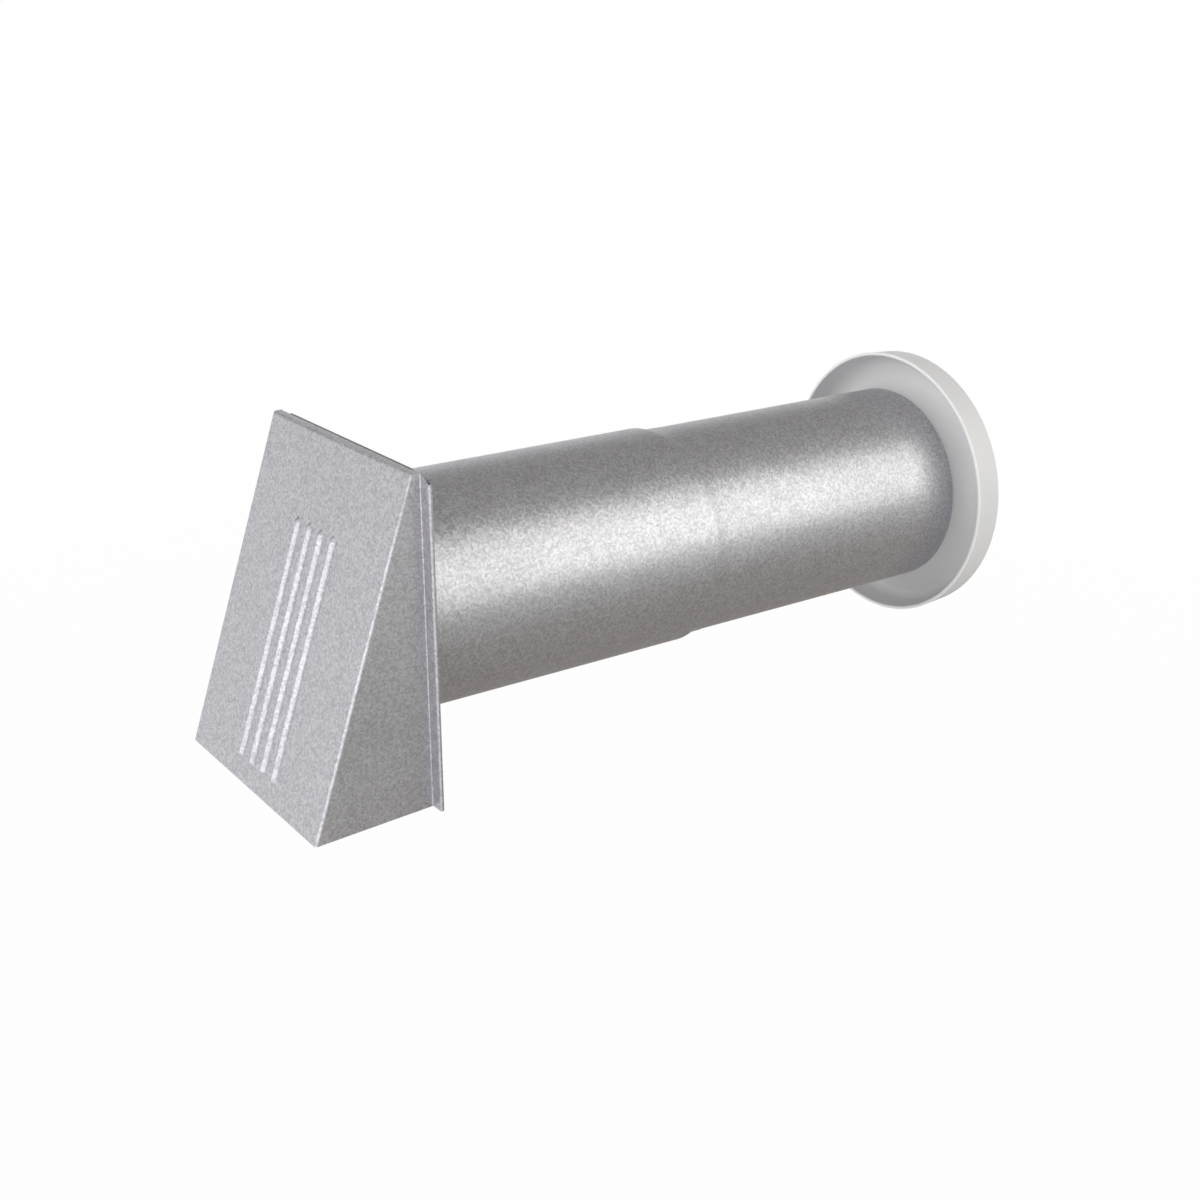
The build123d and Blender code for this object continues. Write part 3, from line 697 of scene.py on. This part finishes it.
# %% Hood folds
hem_round = 0.95
hem_steps = 8
flange_y = -2 * hem_round
hem_x, return_x = 68.95, 63.45
cheek_top, cheek_foot = 73.7, -73.1
flange_top, return_top = 70.2, 72.1
tab_end = -2.3
seam = 0.01              # mm, the halves are joined at this


def fold(mesh, edges, place):
    """Extrudes a chain of edges to where place says. Returns the new chain."""
    made = bmesh.ops.extrude_edge_only(mesh, edges=edges)["geom"]
    moved = [item for item in made if isinstance(item, bmesh.types.BMVert)]
    for vert in moved:
        vert.co = place(vert.co)
    return [item for item in made if isinstance(item, bmesh.types.BMEdge)
            and all(vert in moved for vert in item.verts)]


def down_the_slope(point):
    """0 at the height of the front's top edge, 1 at that of its foot."""
    return (top_edge.z - point.z) / (top_edge.z - foot_edge.z)


def to_wall(point):
    """Where a point of the front's side lands at the wall."""
    height = cheek_top + down_the_slope(point) * (cheek_foot - cheek_top)
    return Vector((hood_half, flange_y, height))


def to_flange(point):
    """Where a point of the cheek's edge lands on the flange's edge."""
    return Vector((hem_x, flange_y, min(point.z, flange_top)))


def to_return(point):
    """Where a point of the rolled hem lands behind the plate."""
    at_top = point.z > flange_top - near
    return Vector((return_x, 0, return_top if at_top else point.z))


def on_top_edge(point):
    """Is the point on the edge between front and top tab?"""
    return abs(point.z - top_edge.z) < near and abs(point.y - top_edge.y) < near


side = [edge for edge in edges_where(mesh, lambda point: abs(point.x - hood_half) < near)
        if edge.is_boundary]
cheek = fold(mesh, side, to_wall)
flange = fold(mesh, cheek, to_flange)
flange_points = list(dict.fromkeys(vert for edge in flange for vert in edge.verts))
rolled = bmesh.ops.spin(mesh, geom=flange + flange_points, cent=(hem_x, flange_y / 2, 0),
                        axis=(0, 0, 1), angle=math.pi, steps=hem_steps)["geom_last"]
fold(mesh, [item for item in rolled if isinstance(item, bmesh.types.BMEdge)], to_return)
top = [edge for edge in edges_where(mesh, on_top_edge) if edge.is_boundary]
fold(mesh, top, lambda point: Vector((point.x, tab_end, point.z)))
bmesh.ops.mirror(mesh, geom=whole(mesh), axis="X", merge_dist=seam)
bmesh.ops.remove_doubles(mesh, verts=mesh.verts, dist=seam)
bmesh.ops.recalc_face_normals(mesh, faces=mesh.faces)
sloping = [face for face in mesh.faces if abs(face.normal.z) > 0.2]
if max(sloping, key=lambda face: face.calc_area()).normal.y > 0:
    bmesh.ops.reverse_faces(mesh, faces=mesh.faces)
print("folded", len(mesh.faces), "faces")

# %% [markdown]
# ## Hood: bends
# A press brake leaves a small radius at each bend. The bends round the front are a little
# larger than the ones where the cheeks turn out into flanges. Then the skin gets its 0.6 mm.

# %% Hood bends
front_bend, flange_bend = 1.2, 0.6


def on_side(point):
    """Is the point as far out as the cheeks are?"""
    return abs(abs(point.x) - hood_half) < near


def on_front(point):
    """Is the point on the sloping front?"""
    slope_y = top_edge.y + down_the_slope(point) * (foot_edge.y - top_edge.y)
    return abs(point.y - slope_y) < near


bends = edges_where(mesh, lambda point: on_side(point) and on_front(point))
bends += edges_where(mesh, on_top_edge)
round_off(mesh, bends, front_bend, 6)
turns = edges_where(mesh, lambda point: on_side(point) and abs(point.y - flange_y) < near)
round_off(mesh, turns, flange_bend, 4)
piece("hood_sheet", mesh, "outer", "aluzinc_steel", ["hood"], thickness=sheet)

# %% [markdown]
# ## Valve ring
# The moulded ring has a lip against the wall, a rounded rim, and a bell-mouth that leads the
# air into the spigot. One outline gives it all: the bell-mouth is a very large bevel on the
# corner between face and bore, and its back is the same corner two millimetres in, so the
# wall stays even as moulders want it. The face rises a little from the bell-mouth to the
# rim, and the groove holds the rubber seal.

# %% Valve ring
lip_radius, lip_bore, lip_y = 70.5, 68.7, 317.4
crown_radius, crown_y = 69.3, 333.7
face_radius, face_y = 65.0, 332.5
spigot_radius, spigot_bore, spigot_end = 50.2, 48.2, 292.0
ledge_radius, ledge_start, ledge_end = 43.3, 300.0, 304.0
web_radius, web_y = 66.2, face_y - 2.0
bell_round, bell_back_round = 16.5, 14.5
rim_round, web_round, lip_round, spigot_round = 1.7, 4.5, 0.3, 0.4
groove_radius, groove_start, groove_end = 49.4, 306.0, 308.8
outline = [
    (lip_radius, lip_y), (crown_radius, crown_y), (face_radius, face_y), (spigot_bore, face_y),
    (spigot_bore, ledge_end), (ledge_radius, ledge_end), (ledge_radius, ledge_start),
    (spigot_bore, ledge_start), (spigot_bore, spigot_end), (spigot_radius, spigot_end),
    (spigot_radius, groove_start), (groove_radius, groove_start), (groove_radius, groove_end),
    (spigot_radius, groove_end), (spigot_radius, web_y), (web_radius, web_y), (lip_bore, lip_y)]
mesh = lathe(outline, round_steps, [
    (crown_radius, crown_y, rim_round, 6), (spigot_bore, face_y, bell_round, 18),
    (spigot_radius, web_y, bell_back_round, 14), (web_radius, web_y, web_round, 8),
    (lip_radius, lip_y, lip_round, 3), (lip_bore, lip_y, lip_round, 3),
    (spigot_bore, spigot_end, spigot_round, 2), (spigot_radius, spigot_end, spigot_round, 2)])
piece("room_ring", mesh, "indoor", "white_plastic", ["valve_ring"], crease=40)

# %% [markdown]
# ## Insect mesh
# Behind the plate's hole lies a disc of welded wire mesh. Its wires are round and lie in two
# layers that are pressed a little way into each other where they cross. Each wire is one
# cylinder, as long as the disc is wide at its place.

# %% Insect mesh
wire_pitch, wire_radius, mesh_radius = 7.0, 0.46, 51.0
wire_sides = 10
wires_each_side = 7
layers = ((3.44, True), (3.92, False))  # how deep in the duct, and whether the wires stand
wires = bmesh.new()
for depth, standing in layers:
    for step in range(-wires_each_side, wires_each_side + 1):
        place = step * wire_pitch
        spot = Vector((place, depth, 0)) if standing else Vector((0, depth, place))
        lie = Matrix.Identity(4) if standing else Matrix.Rotation(math.pi / 2, 4, "Y")
        bmesh.ops.create_cone(wires, cap_ends=True, segments=wire_sides, radius1=wire_radius,
                              radius2=wire_radius, matrix=Matrix.Translation(spot) @ lie,
                              depth=2 * math.sqrt(mesh_radius ** 2 - place ** 2))
piece("wire_mesh", wires, "outer", "zinc_plated_steel", ["insect_mesh"], crease=50)

# %% [markdown]
# ## Filter mat
# The filter is a disc of needled polyester, 11 mm thick, held loosely in its frame. Needling
# pulls the fleece in, so its faces are gently uneven and its cut edge is soft. It is turned on
# the lathe with a large rounding and enough rings to push about, then a slow noise moves each
# point by up to half a millimetre. A mat this thin and stiff needs no cloth simulation.

# %% Filter mat
mat_radius, mat_front, mat_back = 47.9, 272.3, 283.4
mat_round = 3.4
mat_steps = 96
ring_step = 4.0
uneven = 0.45            # mm, the measure of the unevenness
broad_waves, fine_waves = 9.0, 3.5
mat_rings = [ring * ring_step for ring in range(12)]
outline = [(radius, mat_front) for radius in mat_rings]
outline += [(mat_radius, mat_front), (mat_radius, mat_back)]
outline += [(radius, mat_back) for radius in reversed(mat_rings)]
mesh = lathe(outline, mat_steps, [(mat_radius, mat_front, mat_round, 5),
                                  (mat_radius, mat_back, mat_round, 5)], closed=False)
for vert in mesh.verts:
    lift = noise.noise(vert.co / broad_waves) + 0.5 * noise.noise(vert.co / fine_waves)
    inward = -1 if vert.co.y > (mat_front + mat_back) / 2 else 1
    vert.co.y += inward * uneven * (0.5 + lift)
filter_mat = piece("filter_mat", mesh, "indoor", "filter_fibre", ["filter_pad"], crease=80)
